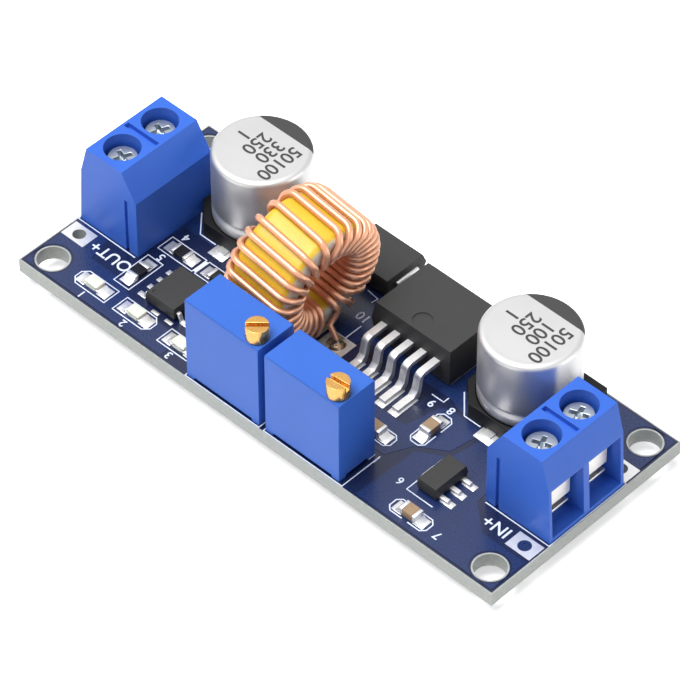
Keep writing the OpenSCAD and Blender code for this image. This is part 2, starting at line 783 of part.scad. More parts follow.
/* diode */
module diode_body() color("dimgray") on_board() translate([diode_x, diode_y, 0]) {
  l = diode_l / 2;
  w = diode_w / 2;
  mid = diode_lead_z - diode_lead_t / 2;
  difference() {
    intersection() {
      along_y([[draft - l, under], [l - draft, under], [l, mid], [l - draft, diode_h],
               [draft - l, diode_h], [-l, mid]], -w, w);
      along_x([[draft - w, under], [w - draft, under], [w, mid], [w - draft, diode_h],
               [draft - w, diode_h], [-w, mid]], -l, l);
    }
    for (m = [0, 1]) mirror([m, 0, 0]) {
      box(l - cut, l + cut, -diode_lead_w / 2, diode_lead_w / 2,
          diode_lead_z - diode_lead_t, diode_lead_z);
      box(l - draft, l + cut, -diode_lead_w / 2, diode_lead_w / 2, -cut, diode_lead_z);
      box(l - diode_lead_in, l + cut, -diode_lead_w / 2, diode_lead_w / 2,
          -cut, diode_lead_t);
    }
  }
}

module diode_leads() color("silver") on_board() translate([diode_x, diode_y, 0])
  for (m = [0, 1]) mirror([m, 0, 0]) {
    l = diode_l / 2;
    t = diode_lead_t;
    out = l + diode_lead_t;
    along_y([[l - cut, diode_lead_z - t], [l, diode_lead_z - t], [l, t],
             [l - diode_lead_in, t], [l - diode_lead_in, 0], [out - t / 2, 0], [out, t / 2],
             [out, diode_lead_z - t / 2], [out - t / 2, diode_lead_z], [l - cut, diode_lead_z]],
            -diode_lead_w / 2, diode_lead_w / 2);
  }

/* trimmers */
module trimmer_housing(x, y, sx) color("royalblue") on_board() difference() {
  union() {
    along_x([[trim_y, trim_foot], [trim_y + trim_w, trim_foot],
             [trim_y + trim_w, trim_h - trim_edge], [trim_y + trim_w - trim_edge, trim_h],
             [trim_y + trim_edge, trim_h], [trim_y, trim_h - trim_edge]],
            x, x + trim_l);
    for (fx = [x, x + trim_l - trim_foot_s], fy = [trim_y, trim_y + trim_w - trim_foot_s])
      box(fx, fx + trim_foot_s, fy, fy + trim_foot_s, 0, trim_foot + eps);
  }
  translate([sx, y, trim_h - adj_depth - run_gap])
    cylinder(r = adj_neck + run_gap, h = adj_depth + cut);
}

adj_y = trim_y + adj_in;
adj_x1 = trim_x1 + trim_l - adj_in;
adj_x2 = trim_x2 + trim_l - adj_in;
module trimmer_1_housing() trimmer_housing(trim_x1, adj_y, adj_x1);
module trimmer_2_housing() trimmer_housing(trim_x2, adj_y, adj_x2);

module adjuster(x, turn) color("goldenrod") on_board() translate([x, adj_y, 0]) difference() {
  union() {
    translate([0, 0, trim_h - adj_depth]) cylinder(r = adj_neck, h = adj_depth + 2 * adj_gap);
    translate([0, 0, trim_h + adj_gap]) cylinder(r = adj_r, h = adj_h);
  }
  rotate([0, 0, turn]) box(-adj_r - cut, adj_r + cut, -adj_slot_w / 2, adj_slot_w / 2,
    trim_h + adj_gap + adj_h - adj_slot_d, trim_h + adj_h + cut);
}

module trimmer_1_screw() adjuster(adj_x1, adj_turn1);
module trimmer_2_screw() adjuster(adj_x2, adj_turn2);

module trimmer_pins(x) color("silver")
  for (k = [-1, 0, 1]) translate([x + trim_l / 2 + k * trim_pitch, trim_pin_y, 0])
    cylinder(r = trim_pin_r, h = board_top + trim_foot);

module trimmer_1_pins() trimmer_pins(trim_x1);
module trimmer_2_pins() trimmer_pins(trim_x2);

/* small packages */
module moulded(w, l, h, mid) {
  intersection() {
    along_y([[draft / 2 - w / 2, under], [w / 2 - draft / 2, under], [w / 2, mid],
             [w / 2 - draft / 2, h], [draft / 2 - w / 2, h], [-w / 2, mid]], -l / 2, l / 2);
    along_x([[draft / 2 - l / 2, under], [l / 2 - draft / 2, under], [l / 2, mid],
             [l / 2 - draft / 2, h], [draft / 2 - l / 2, h], [-l / 2, mid]], -w / 2, w / 2);
  }
}

amp_mid = amp_h / 2 + lead_t / 2;
amp_dimple_r = dimple_r / 4;
amp_rows = [for (k = [-1.5 : 1 : 1.5]) k * amp_pitch];
module amplifier_body() color("dimgray") on_board() translate([amp_x, amp_y, 0]) difference() {
  moulded(amp_w, amp_l, amp_h, amp_mid);
  for (m = [0, 1], y = amp_rows) mirror([m, 0, 0])
    box(amp_w / 2 - draft, amp_w, y - amp_lead_w / 2, y + amp_lead_w / 2,
        amp_mid - lead_t / 2, amp_mid + lead_t / 2);
  translate([2 * amp_dimple_r - amp_w / 2 + draft, 2.5 * amp_dimple_r - amp_l / 2, amp_h - dimple_d])
    cylinder(r = amp_dimple_r, h = cut);
}

module amplifier_leads() color("silver") on_board() translate([amp_x, amp_y, 0])
  for (m = [0, 1], y = amp_rows) mirror([m, 0, 0]) {
    tip = amp_span / 2;
    heel = tip - lead_foot;
    along_y([[amp_w / 2 - draft, amp_mid - lead_t / 2], [amp_w / 2 + lead_t / 2, amp_mid - lead_t / 2],
             [heel - lead_t / 2, 0], [tip, 0], [tip, lead_t], [heel + lead_t / 2, lead_t],
             [amp_w / 2 + 1.5 * lead_t, amp_mid + lead_t / 2], [amp_w / 2 - draft, amp_mid + lead_t / 2]],
            y - amp_lead_w / 2, y + amp_lead_w / 2);
  }

module small_regulator_body() color("dimgray") on_board() translate([sot_x, sot_y, 0])
  difference() {
    moulded(sot_w, sot_l, sot_h, sot_h / 2);
    small_regulator_metal();
  }

module small_regulator_metal() {
  for (k = [-1, 0, 1])
    box(sot_w / 2 - 2 * draft, sot_w / 2 + sot_reach, k * sot_pitch - sot_lead_w / 2,
        k * sot_pitch + sot_lead_w / 2, 0, sot_lead_t);
  box(-sot_w / 2 - sot_tab, sot_w / 2 - 2 * draft, -sot_pitch / 2, sot_pitch / 2, 0, sot_lead_t);
  box(sot_w / 2 - 3 * draft, sot_w / 2 - 2 * draft, -sot_lead_w / 2, sot_lead_w / 2, 0, sot_lead_t);
}

module small_regulator_leads() color("silver") on_board() translate([sot_x, sot_y, 0])
  small_regulator_metal();

/* lamps and chips */
module chip_at(list) {
  on_board() for (p = list) translate([p[0], p[1], 0]) rotate([0, 0, p[2]]) children();
}

lamp_at = [for (x = lamp_xs) [x, lamp_y, 0]];
lens_l = chip_l - 2 * chip_end;

module lamp_bases() color("white") chip_at(lamp_at)
  box(-lens_l / 2, lens_l / 2, -chip_w / 2, chip_w / 2, 0, lamp_base);

module lamp_lenses() color("white") chip_at(lamp_at)
  along_y([[-lens_l / 2, lamp_base], [lens_l / 2, lamp_base],
           [lens_l / 2 - draft / 2, lamp_base + lamp_lens],
           [draft / 2 - lens_l / 2, lamp_base + lamp_lens]], -chip_w / 2, chip_w / 2);

module chip_ends(h) {
  for (m = [0, 1]) mirror([m, 0, 0])
    box(chip_l / 2 - chip_end, chip_l / 2, -chip_w / 2, chip_w / 2, 0, h);
}

module lamp_ends() color("silver") chip_at(lamp_at) chip_ends(lamp_base);

module resistor_bodies() color("black") chip_at(res_at)
  box(-lens_l / 2, lens_l / 2, -chip_w / 2, chip_w / 2, 0, res_h);

module resistor_ends() color("silver") chip_at(res_at) chip_ends(res_h);

module ceramic_bodies() color("tan") chip_at(cer_at)
  box(-lens_l / 2, lens_l / 2, -chip_w / 2, chip_w / 2, 0, cer_h);

module ceramic_ends() color("silver") chip_at(cer_at) chip_ends(cer_h);

board();
solder_pads();
through_solder();
chip_solder();
in_housing();
out_housing();
in_clamps();
out_clamps();
in_pos_leaf();
in_neg_leaf();
out_pos_leaf();
out_neg_leaf();
in_pos_screw();
in_neg_screw();
out_pos_screw();
out_neg_screw();
in_can();
out_can();
in_can_base();
out_can_base();
in_can_feet();
out_can_feet();
toroid_core();
toroid_winding();
toroid_solder();
toroid_dab();
regulator_body();
regulator_tab();
regulator_leads();
diode_body();
diode_leads();
trimmer_1_housing();
trimmer_2_housing();
trimmer_1_screw();
trimmer_2_screw();
trimmer_1_pins();
trimmer_2_pins();
amplifier_body();
amplifier_leads();
small_regulator_body();
small_regulator_leads();
lamp_bases();
lamp_lenses();
lamp_ends();
resistor_bodies();
resistor_ends();
ceramic_bodies();
ceramic_ends();
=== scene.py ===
"""Looks of a step-down power module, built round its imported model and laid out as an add-on."""

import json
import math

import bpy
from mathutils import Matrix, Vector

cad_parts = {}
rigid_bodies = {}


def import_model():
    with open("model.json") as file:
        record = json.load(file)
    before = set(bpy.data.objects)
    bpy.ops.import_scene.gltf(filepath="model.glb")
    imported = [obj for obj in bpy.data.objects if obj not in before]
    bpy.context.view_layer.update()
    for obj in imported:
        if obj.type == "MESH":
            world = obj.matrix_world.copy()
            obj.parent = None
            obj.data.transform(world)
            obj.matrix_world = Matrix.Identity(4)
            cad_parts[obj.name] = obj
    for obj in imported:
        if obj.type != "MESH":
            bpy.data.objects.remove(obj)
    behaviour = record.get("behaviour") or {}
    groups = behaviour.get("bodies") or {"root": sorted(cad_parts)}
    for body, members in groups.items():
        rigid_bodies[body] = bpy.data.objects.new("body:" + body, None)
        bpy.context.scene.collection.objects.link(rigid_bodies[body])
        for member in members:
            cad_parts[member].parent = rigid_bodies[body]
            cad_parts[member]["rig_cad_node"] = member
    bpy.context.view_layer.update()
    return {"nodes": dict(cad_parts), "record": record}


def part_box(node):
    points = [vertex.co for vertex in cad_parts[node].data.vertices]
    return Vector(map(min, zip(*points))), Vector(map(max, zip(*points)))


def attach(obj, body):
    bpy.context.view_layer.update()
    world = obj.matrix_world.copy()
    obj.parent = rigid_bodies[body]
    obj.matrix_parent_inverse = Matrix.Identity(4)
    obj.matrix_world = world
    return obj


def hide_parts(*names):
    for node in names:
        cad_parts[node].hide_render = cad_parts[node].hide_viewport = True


bl_info = {
    "name": "Step-Down Power Module",
    "version": (1, 0, 0),
    "blender": (4, 5, 0),
    "location": "View3D > Sidebar > Power Module",
    "description": "Finishes a step-down power module: board, terminals, coil, cans and chips",
    "category": "Object",
}

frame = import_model()

MM = 0.001
ROOT = "module"
BOARD_LOW, BOARD_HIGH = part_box("board")
TOP = BOARD_HIGH.z
ENDS = ("in", "out")
POLES = ("pos", "neg")

# Places on the board in millimetres: x, y and, where a part may lie across, its turn in degrees
CORNER_HOLE = (28.67, 10.67)
LAMPS = ((-23.1, -10.42), (-17.4, -10.42), (-11.35, -10.42))
RESISTORS = ((-20.05, -1.63, 0), (-15.05, -1.63, 0), (-21.35, -6.28, 90))
CERAMICS = ((19.13, -11.0, 0), (13.15, -1.93, 90), (9.45, -5.6, 0))
REGULATOR_X, REGULATOR_PITCH = 5.75, 1.7
AMPLIFIER, AMPLIFIER_PITCH = (-16.05, -6.18), 1.27
SMALL_REGULATOR, SMALL_REGULATOR_PITCH = (20.55, -6.1), 1.5


# ---------------------------------------------------------------- settings

def colour(name, description, default):
    """A display colour that a user can change."""
    return bpy.props.FloatVectorProperty(
        name=name, description=description, default=default,
        subtype="COLOR_GAMMA", size=3, min=0.0, max=1.0)


def length(name, description, millimetres):
    """A size in metres, with its default given in millimetres."""
    return bpy.props.FloatProperty(
        name=name, description=description, default=millimetres * MM,
        unit="LENGTH", min=0.0, precision=5)


class BoardSettings(bpy.types.PropertyGroup):
    mask: colour("Mask", "Solder mask over bare laminate", (0.045, 0.095, 0.235))
    mask_copper: colour("Mask on copper", "Solder mask over copper", (0.070, 0.150, 0.330))
    laminate: colour("Laminate", "Bare glass laminate at the edges", (0.70, 0.71, 0.71))
    ink: colour("Ink", "Screen-printed legend", (0.86, 0.89, 0.97))
    ink_width: length("Ink width", "Width of a printed line", 0.16)
    ink_height: length("Ink height", "Height of the print above the laminate", 0.055)
    copper_height: length("Copper height", "Height of the copper areas", 0.035)
    hole_rim: length("Hole rim", "Width of bare laminate round a corner hole", 0.17)
    border: length("Border", "Width of bare laminate along the edges", 0.14)


class PlasticSettings(bpy.types.PropertyGroup):
    block: colour("Block", "Terminal block moulding", (0.215, 0.405, 0.80))
    trimmer: colour("Trimmer", "Trimmer moulding", (0.22, 0.41, 0.78))
    resin: colour("Resin", "Chip package resin", (0.155, 0.155, 0.155))
    base: colour("Can base", "Black plate under a can", (0.055, 0.055, 0.06))
    edge: length("Edge", "Rounding of moulded edges", 0.12)
    chip_edge: length("Chip edge", "Rounding of chip packages", 0.05)


class MetalSettings(bpy.types.PropertyGroup):
    tin: colour("Tin", "Tinned leads and pads", (0.86, 0.86, 0.86))
    zinc: colour("Zinc", "Terminal screws", (0.70, 0.73, 0.76))
    aluminium: colour("Aluminium", "Capacitor cans", (0.80, 0.80, 0.80))
    brass: colour("Brass", "Adjusting screws", (0.84, 0.65, 0.38))
    copper: colour("Copper", "Enamelled copper wire", (0.90, 0.66, 0.52))
    mark: colour("Can mark", "Dark segment and numbers on a can", (0.20, 0.20, 0.20))


class CoilSettings(bpy.types.PropertyGroup):
    core: colour("Core", "Painted powder core", (0.86, 0.72, 0.20))
    face: colour("Core face", "White face of the core", (0.80, 0.80, 0.76))
    wire: length("Wire", "Diameter of the wire", 0.7)
    tilt: bpy.props.FloatProperty(
        name="Tilt", description="Lean of the coil towards the input end",
        default=math.radians(7), subtype="ANGLE")
    turns: bpy.props.IntProperty(name="Turns", description="Turns of wire", default=28, min=3)


class StageSettings(bpy.types.PropertyGroup):
    lens: bpy.props.FloatProperty(
        name="Lens", description="Focal length of the camera, in millimetres", default=251.09)
    backdrop: colour("Backdrop", "Floor and background", (1.0, 1.0, 1.0))
    key: bpy.props.FloatProperty(
        name="Key", description="Power of the overhead light, in watts", default=2.85)
    fill: bpy.props.FloatProperty(
        name="Fill", description="Power of the light at the input end, in watts", default=0.4)
    sky: bpy.props.FloatProperty(
        name="Sky", description="Strength of the light from all round", default=0.30)


# ---------------------------------------------------------------- modelling helpers

def deselect():
    bpy.ops.object.select_all(action="DESELECT")


def pick(*pieces):
    deselect()
    for piece in pieces:
        piece.select_set(True)
    bpy.context.view_layer.objects.active = pieces[0]


def place(piece, move=(0, 0, 0), turn=0.0, grow=(1, 1, 1)):
    """Puts a piece in its place and writes the place into its mesh."""
    piece.matrix_world = (
        Matrix.Translation(move) @ Matrix.Rotation(turn, 4, "Z") @ Matrix.Diagonal((*grow, 1)))
    pick(piece)
    bpy.ops.object.transform_apply(location=True, rotation=True, scale=True)


def to_mesh(piece):
    pick(piece)
    bpy.ops.object.convert(target="MESH")
    return bpy.context.active_object


def join(pieces, name):
    pick(*pieces)
    if len(pieces) > 1:
        bpy.ops.object.join()
    piece = bpy.context.active_object
    piece.name = name
    return piece


def outward(piece):
    """Merges doubled points and turns every face outwards."""
    pick(piece)
    bpy.ops.object.mode_set(mode="EDIT")
    bpy.ops.mesh.select_all(action="SELECT")
    bpy.ops.mesh.remove_doubles(threshold=1e-7)
    bpy.ops.mesh.normals_make_consistent(inside=False)
    bpy.ops.object.mode_set(mode="OBJECT")


def smooth(piece, degrees=35):
    pick(piece)
    bpy.ops.object.shade_smooth_by_angle(angle=math.radians(degrees))


def round_edges(piece, width, segments=2, degrees=28):
    pick(piece)
    bevel = piece.modifiers.new("rounding", "BEVEL")
    bevel.width = width
    bevel.segments = segments
    bevel.limit_method = "ANGLE"
    bevel.angle_limit = math.radians(degrees)
    bevel.use_clamp_overlap = True
    bpy.ops.object.modifier_apply(modifier=bevel.name)


def even_shading(piece):
    """Lets the big flat faces set the shading of the rounded edges between them."""
    pick(piece)
    even = piece.modifiers.new("even shading", "WEIGHTED_NORMAL")
    even.keep_sharp = True
    bpy.ops.object.modifier_apply(modifier=even.name)


def dress(piece, finish, body=ROOT, stands_for=()):
    """Gives a piece its finish and its body, and hides the model's nodes that it stands for."""
    piece.data.materials.clear()
    piece.data.materials.append(finish)
    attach(piece, body)
    if stands_for:
        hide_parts(*stands_for)
    return piece


def body_of(node):
    bodies = frame["record"]["behaviour"]["bodies"]
    return next(body for body, nodes in bodies.items() if node in nodes)


def finished_copy(node, finish, edge=0.0, degrees=28, soft=35):
    """Stands a joined-up copy with rounded edges in a node's place."""
    source = frame["nodes"][node]
    pick(source)
    bpy.ops.object.duplicate()
    piece = bpy.context.active_object
    piece.name = node + "_finished"
    del piece["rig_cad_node"]
    bpy.ops.object.parent_clear(type="CLEAR_KEEP_TRANSFORM")
    bpy.ops.object.mode_set(mode="EDIT")
    bpy.ops.mesh.select_all(action="SELECT")
    bpy.ops.mesh.remove_doubles(threshold=1e-6)
    bpy.ops.mesh.dissolve_limited(angle_limit=math.radians(0.3))
    bpy.ops.object.mode_set(mode="OBJECT")
    if edge:
        round_edges(piece, edge, degrees=degrees)
    smooth(piece, soft)
    even_shading(piece)
    return dress(piece, finish, body_of(node), (node,))


def slab(low, high, edge):
    """A thin rounded block between two corners, in metres."""
    low, high = Vector(low), Vector(high)
    deselect()
    bpy.ops.mesh.primitive_cube_add(size=1, location=(0, 0, 0))
    piece = bpy.context.active_object
    place(piece, (low + high) / 2, grow=high - low)
    round_edges(piece, edge)
    return piece


def turned(rings, centre, sides=96):
    """A solid of revolution about Z, drawn up ring by ring from [radius, height] pairs."""
    deselect()
    radius, height = rings[0]
    bpy.ops.mesh.primitive_circle_add(
        vertices=sides, radius=radius, fill_type="NGON",
        location=(centre[0], centre[1], height))
    bpy.ops.object.mode_set(mode="EDIT")
    bpy.ops.mesh.select_all(action="SELECT")
    for wider, higher in rings[1:]:
        bpy.ops.mesh.extrude_region_move(
            TRANSFORM_OT_translate={"value": (0, 0, higher - height)})
        share = wider / radius
        bpy.ops.transform.resize(
            value=(share, share, 1), center_override=(centre[0], centre[1], higher))
        radius, height = wider, higher
    bpy.ops.object.mode_set(mode="OBJECT")
    piece = bpy.context.active_object
    place(piece, piece.location.copy())
    outward(piece)
    return piece


def traced(lines, closed=False):
    """A new curve object through lines of points given in millimetres."""
    deselect()
    bpy.ops.curve.primitive_nurbs_path_add(location=(0, 0, 0))
    piece = bpy.context.active_object
    piece.data.splines.clear()
    for line in lines:
        spline = piece.data.splines.new("POLY")
        spline.points.add(len(line) - 1)
        spline.use_cyclic_u = closed
        for point, spot in zip(spline.points, line):
            point.co = (*(c * MM for c in spot), 1)
    return piece


def drawn(paths, width, height, level, closed=False):
    """Lines of a pen of round section, pressed flat to a height at a level."""
    piece = traced([[(x, y, 0) for x, y in path] for path in paths], closed)
    piece.data.bevel_depth = width / 2
    piece.data.bevel_resolution = 2
    piece.data.use_fill_caps = True
    piece = to_mesh(piece)
    place(piece, (0, 0, level), grow=(1, 1, height / width))
    return piece


def printed(text, size, x, y, level, height, turn=math.pi, weight=0.0):
    """Raised print, centred on a place in millimetres."""
    deselect()
    bpy.ops.object.text_add(location=(0, 0, 0))
    piece = bpy.context.active_object
    piece.data.body = text
    piece.data.size = size * MM
    piece.data.align_x = "CENTER"
    piece.data.align_y = "CENTER"
    piece.data.extrude = height / 2
    piece.data.offset = weight * MM
    piece = to_mesh(piece)
    place(piece, (x * MM, y * MM, level + height / 2), turn)
    return piece


def area(outline, holes, height, level):
    """A flat area with round holes, from outline points in millimetres."""
    rings = [[(x, y, 0) for x, y in outline]]
    for x, y, radius in holes:
        rings.append([
            (x + radius * math.cos(a * math.pi / 16), y + radius * math.sin(a * math.pi / 16), 0)
            for a in range(32)])
    piece = traced(rings, closed=True)
    piece.data.dimensions = "2D"
    piece.data.fill_mode = "BOTH"
    piece.data.extrude = height / 2
    piece = to_mesh(piece)
    place(piece, (0, 0, level + height / 2))
    return piece


# ---------------------------------------------------------------- finishing helpers

def linear(display):
    """A display colour as the linear colour that shaders take."""
    return [c / 12.92 if c <= 0.04045 else ((c + 0.055) / 1.055) ** 2.4
            for c in display] + [1.0]


def shade(display, share):
    return [min(1.0, c * share) for c in display]


class Finish:
    """A procedural material: mottled colour, uneven gloss and a fine grain."""

    def __init__(self, name, display, roughness, metallic=0.0, mottle=0.05, patch=1.5,
                 gloss_spread=0.05, grain=0.12, relief=0.0, **sockets):
        self.material = bpy.data.materials.new(name)
        self.material.use_nodes = True
        self.tree = self.material.node_tree
        self.shader = self.tree.nodes["Principled BSDF"]
        self.shader.inputs["Metallic"].default_value = metallic
        for socket, value in sockets.items():
            self.shader.inputs[socket.replace("_", " ")].default_value = value
        self.place = self.node("TexCoord").outputs["Object"]
        patches = self.noise(patch, 3)
        self.colour = self.mix(
            patches, linear(shade(display, 1 - mottle)), linear(shade(display, 1 + mottle)))
        fine = self.noise(grain, 4)
        self.gloss = self.span(fine, roughness - gloss_spread, roughness + gloss_spread)
        self.link(self.colour, "Base Color")
        self.link(self.gloss, "Roughness")
        if relief:
            self.bump(fine, relief)

    def node(self, kind, inputs=(), **fields):
        made = self.tree.nodes.new("ShaderNode" + kind)
        for field, value in fields.items():
            setattr(made, field, value)
        for socket, value in dict(inputs).items():
            if isinstance(value, bpy.types.NodeSocket):
                self.tree.links.new(value, made.inputs[socket])
            else:
                made.inputs[socket].default_value = value
        return made

    def link(self, source, socket):
        self.tree.links.new(source, self.shader.inputs[socket])

    def noise(self, size, detail=2, stretch=(1, 1, 1)):
        """Noise whose features are about size millimetres across."""
        spot = self.node("Mapping", {"Vector": self.place, "Scale": stretch}).outputs["Vector"]
        return self.node("TexNoise", {
            "Vector": spot, "Scale": 1 / (size * MM), "Detail": detail}).outputs["Fac"]

    def mix(self, share, first, second):
        """A blend of two colours; a colour Mix node takes them at sockets 6 and 7."""
        made = self.node("Mix", data_type="RGBA")
        for index, value in ((0, share), (6, first), (7, second)):
            if isinstance(value, bpy.types.NodeSocket):
                self.tree.links.new(value, made.inputs[index])
            else:
                made.inputs[index].default_value = value
        return made.outputs[2]

    def span(self, value, low, high, start=0.3, end=0.7):
        return self.node("MapRange", {
            "Value": value, "From Min": start, "From Max": end,
            "To Min": low, "To Max": high}).outputs["Result"]

    def math(self, operation, first, second=0.0):
        return self.node("Math", {0: first, 1: second}, operation=operation).outputs[0]

    def axes(self, source=None):
        return self.node("SeparateXYZ", {"Vector": source or self.place}).outputs

    def bump(self, value, millimetres):
        """Relief of a depth in millimetres, laid over any relief already there."""
        bump = self.node("Bump", {"Height": value, "Distance": millimetres * MM})
        before = self.shader.inputs["Normal"]
        if before.is_linked:
            self.tree.links.new(before.links[0].from_socket, bump.inputs["Normal"])
        self.link(bump.outputs["Normal"], "Normal")

    def tint(self, share, display):
        """Lays another colour over the part where share is 1."""
        self.colour = self.mix(share, self.colour, linear(display))
        self.link(self.colour, "Base Color")

    def dull(self, share, roughness):
        """Gives another roughness where share is 1; numbers enter at sockets 2 and 3."""
        mixed = self.node("Mix", data_type="FLOAT")
        self.tree.links.new(share, mixed.inputs[0])
        self.tree.links.new(self.gloss, mixed.inputs[2])
        mixed.inputs[3].default_value = roughness
        self.gloss = mixed.outputs[0]
        self.link(self.gloss, "Roughness")


# ---------------------------------------------------------------- finishes

def solder_mask(settings):
    """Glossy blue mask, with bare laminate on the edges, the border and the hole rims."""
    finish = Finish("solder_mask", settings.mask, 0.30, patch=4, mottle=0.10, relief=0.004,
                    Coat_Weight=0.2, Coat_Roughness=0.12)
    x, y, z = (finish.math("ABSOLUTE", axis) for axis in finish.axes())
    hole_x, hole_y = (place * MM for place in CORNER_HOLE)
    hole_radius = 1.6 * MM
    near_x = finish.math("SUBTRACT", x, hole_x)
    near_y = finish.math("SUBTRACT", y, hole_y)
    reach = finish.math("SQRT", finish.math(
        "ADD", finish.math("MULTIPLY", near_x, near_x), finish.math("MULTIPLY", near_y, near_y)))
    rim = finish.math("LESS_THAN", reach, hole_radius + settings.hole_rim)
    side_x = finish.math("GREATER_THAN", x, BOARD_HIGH.x - settings.border)
    side_y = finish.math("GREATER_THAN", y, BOARD_HIGH.y - settings.border)
    normal = finish.axes(finish.node("TexCoord").outputs["Normal"])[2]
    wall = finish.math("LESS_THAN", finish.math("ABSOLUTE", normal), 0.5)
    bare = finish.math("MAXIMUM", finish.math("MAXIMUM", rim, wall),
                       finish.math("MAXIMUM", side_x, side_y))
    finish.tint(bare, settings.laminate)
    weave = finish.noise(0.5, 3, (1, 1, 5))
    finish.tint(finish.math("MULTIPLY", bare, finish.span(weave, 0, 0.55)), (0.52, 0.55, 0.47))
    finish.dull(bare, 0.7)
    return finish.material


def copper_mask(settings):
    """The same mask, lighter where copper lies under it."""
    return Finish("copper_mask", settings.mask_copper, 0.30, patch=5, mottle=0.13,
                  relief=0.004, Coat_Weight=0.2, Coat_Roughness=0.12).material


def legend_ink(settings):
    return Finish("legend_ink", settings.ink, 0.55, mottle=0.05, patch=0.6, relief=0.01).material


def block_moulding(settings):
    """Satin blue nylon with faint flow marks."""
    return Finish("block_moulding", settings.block, 0.42, mottle=0.03, patch=3,
                  grain=0.2, relief=0.004, Specular_IOR_Level=0.25).material


def trimmer_moulding(settings):
    return Finish("trimmer_moulding", settings.trimmer, 0.40, mottle=0.03, patch=4,
                  grain=0.25, relief=0.006, Specular_IOR_Level=0.25).material


def package_resin(settings):
    """Black moulding resin with a spark-eroded grain."""
    return Finish("package_resin", settings.resin, 0.58, mottle=0.07, patch=0.9,
                  grain=0.07, relief=0.012).material


def base_moulding(settings):
    return Finish("base_moulding", settings.base, 0.50, mottle=0.08, patch=1.2,
                  relief=0.006, Specular_IOR_Level=0.25).material


def bright_tin(settings):
    """Tin plating, drawn and a little uneven."""
    return Finish("bright_tin", settings.tin, 0.44, 0.85, mottle=0.05, patch=0.5,
                  gloss_spread=0.06, relief=0.003).material


def fresh_solder(settings):
    """Solder with soft humps and a bright skin."""
    finish = Finish("fresh_solder", shade(settings.tin, 1.03), 0.38, 0.7, mottle=0.04,
                    patch=0.6, gloss_spread=0.06)
    finish.bump(finish.noise(0.45, 2), 0.02)
    return finish.material


def fluxed_solder():
    """Solder under a brown glaze of flux."""
    finish = Finish("fluxed_solder", (0.62, 0.50, 0.36), 0.30, 0.85, mottle=0.16, patch=0.7,
                    Coat_Weight=0.6, Coat_Roughness=0.15)
    finish.tint(finish.span(finish.noise(0.8, 2), 0, 1, 0.50, 0.62), (0.78, 0.76, 0.72))
    finish.bump(finish.noise(0.5, 2), 0.08)
    return finish.material


def bright_zinc(settings):
    """Zinc plating, a little uneven."""
    return Finish("bright_zinc", settings.zinc, 0.36, 1.0, mottle=0.05, patch=0.8,
                  gloss_spread=0.06, relief=0.002).material


def clamp_plate():
    """Pale plated sheet, brushed across."""
    finish = Finish("clamp_plate", (0.90, 0.89, 0.86), 0.42, 1.0, mottle=0.04, patch=0.8)
    finish.bump(finish.noise(0.12, 2, (1, 0.1, 1)), 0.008)
    return finish.material


def can_metal(settings):
    """Satin drawn aluminium, with a dark printed segment on top."""
    shine, segment = 0.8, 3.1 * MM
    finish = Finish("can_metal", settings.aluminium, 0.40, shine, mottle=0.02, patch=2,
                    gloss_spread=0.03)
    finish.bump(finish.noise(0.15, 2, (1, 1, 0.05)), 0.002)
    low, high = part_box("in_can")
    chord = (low.y + high.y) / 2 + segment
    beyond = finish.math("GREATER_THAN", finish.axes()[1], chord)
    facing_up = finish.math(
        "GREATER_THAN", finish.axes(finish.node("TexCoord").outputs["Normal"])[2], 0.35)
    mark = finish.math("MULTIPLY", beyond, facing_up)
    finish.tint(mark, settings.mark)
    finish.dull(mark, 0.55)
    finish.link(finish.span(mark, shine, 0.0, 0, 1), "Metallic")
    return finish.material


def can_ink(settings):
    return Finish("can_ink", settings.mark, 0.6, mottle=0.06, patch=0.4).material


def turned_brass(settings):
    return Finish("turned_brass", settings.brass, 0.30, 1.0, mottle=0.08, patch=0.5,
                  gloss_spread=0.08, relief=0.012).material


def wire_enamel(settings):
    """Copper seen through clear enamel, darker in patches."""
    return Finish("wire_enamel", settings.copper, 0.36, 0.6, mottle=0.06, patch=1.2,
                  gloss_spread=0.05, Coat_Weight=0.4, Coat_Roughness=0.2).material


def cured_adhesive():
    return Finish("cured_adhesive", (0.80, 0.79, 0.74), 0.45, mottle=0.05, patch=1,
                  relief=0.03, Subsurface_Weight=0.15, Subsurface_Scale=0.001).material


def lamp_body():
    return Finish("lamp_body", (0.90, 0.91, 0.88), 0.45, mottle=0.04, patch=0.5,
                  relief=0.006).material


def lamp_resin():
    """Milky resin over a pale phosphor."""
    return Finish("lamp_resin", (0.90, 0.91, 0.84), 0.20, mottle=0.05, patch=0.6,
                  Subsurface_Weight=0.3, Subsurface_Scale=0.0006, Coat_Weight=0.5,
                  Coat_Roughness=0.08).material


def resistor_glaze():
    return Finish("resistor_glaze", (0.09, 0.09, 0.10), 0.30, mottle=0.08, patch=0.4,
                  relief=0.004).material


def fired_ceramic():
    return Finish("fired_ceramic", (0.60, 0.50, 0.39), 0.50, mottle=0.09, patch=0.4,
                  relief=0.01).material


# ---------------------------------------------------------------- operators

